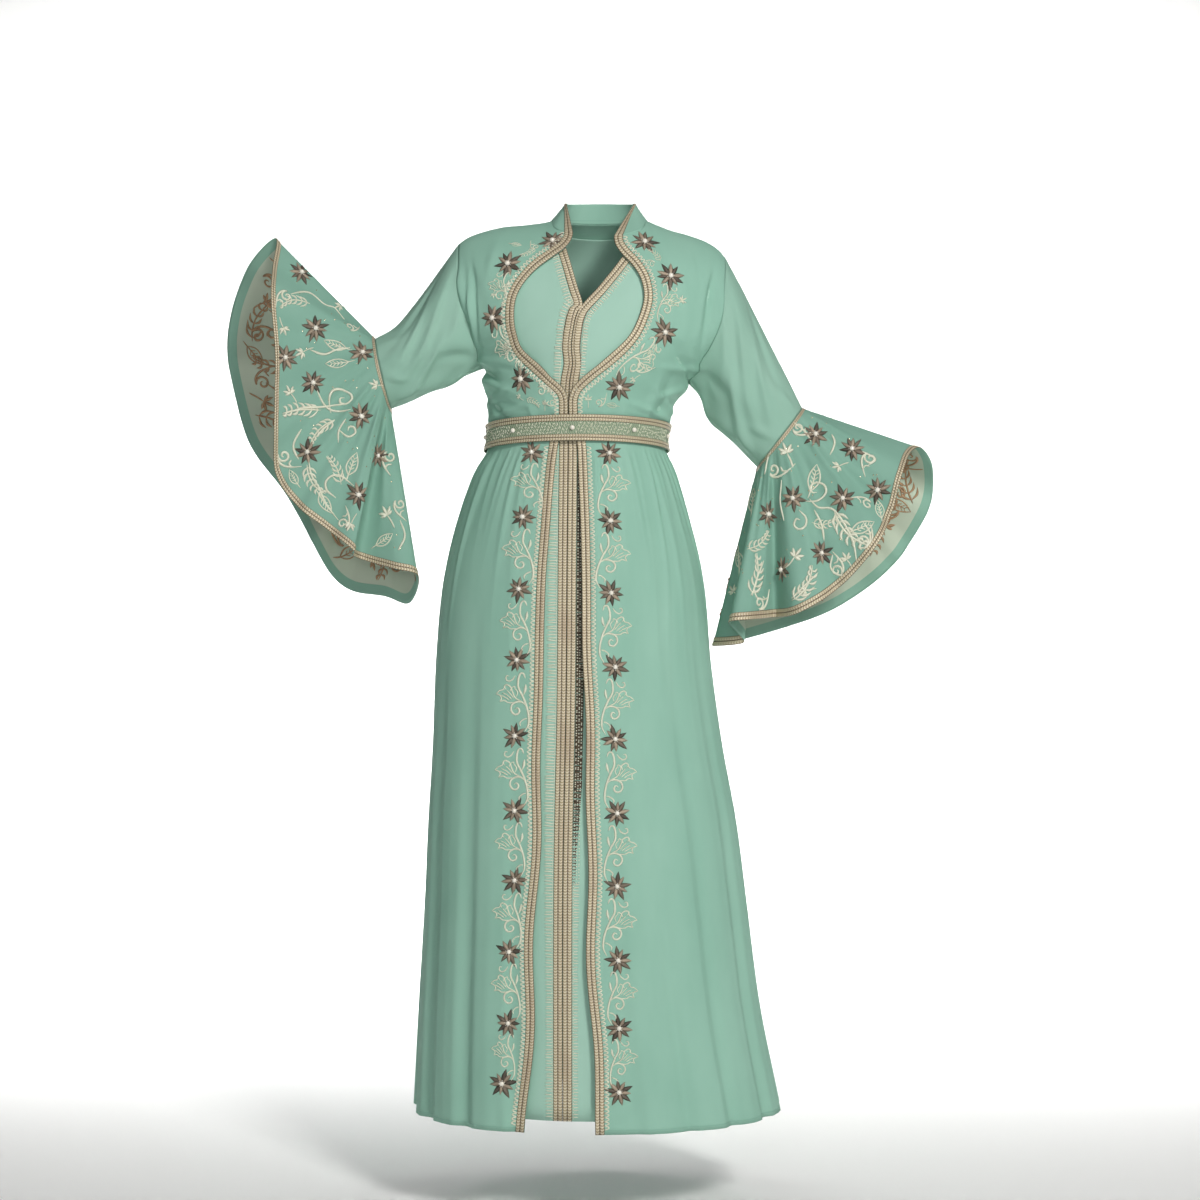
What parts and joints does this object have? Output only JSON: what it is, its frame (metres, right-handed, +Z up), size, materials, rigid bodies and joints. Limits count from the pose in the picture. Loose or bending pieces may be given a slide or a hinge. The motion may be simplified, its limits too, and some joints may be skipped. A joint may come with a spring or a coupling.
{
  "type": "abaya",
  "caption": "Long open gown worn over a sleeveless dress, with an almond-shaped bodice opening, sheer sleeves ending in wide bells, gold braids, raised flowers and a belt.",
  "frame": {"origin": "midway between the shoulders, at the height of the shoulder line, where the wearer holds the garment up", "axes": "+Z up, +Y towards the back, +X towards the wearer's left"},
  "size_m": [1.1533, 0.4427, 1.4513],
  "materials": {
    "gown_cloth": "soft matte crepe georgette, sea green",
    "sleeve_cloth": "sheer georgette, pale sea green",
    "bell_cloth": "embroidered georgette, sea green",
    "dress_cloth": "smooth satin-backed crepe, pale sea green",
    "gold_braid": "woven metallic braid, pale gold with brown lines",
    "belt_cloth": "green band worked with gold thread"
  },
  "bodies": {
    "root": {"bodice_front_right": "gown_cloth", "bodice_front_left": "gown_cloth", "bodice_back": "gown_cloth", "stand_collar": "gown_cloth", "sleeve_right": "sleeve_cloth", "sleeve_left": "sleeve_cloth", "bell_right": "bell_cloth", "bell_left": "bell_cloth", "skirt_front_right": "gown_cloth", "skirt_front_left": "gown_cloth", "skirt_back": "gown_cloth", "dress_front_right": "dress_cloth", "dress_front_left": "dress_cloth", "dress_back": "dress_cloth", "bodice_braid_right": "gold_braid", "bodice_braid_left": "gold_braid", "collar_braid_right": "gold_braid", "collar_braid_left": "gold_braid", "skirt_braid_right": "gold_braid", "skirt_braid_left": "gold_braid", "placket_braid_right": "gold_braid", "placket_braid_left": "gold_braid", "bell_braid_right": "gold_braid", "bell_braid_left": "gold_braid", "belt_band": "belt_cloth", "belt_braid_top": "gold_braid", "belt_braid_bottom": "gold_braid"}
  },
  "joints": []
}
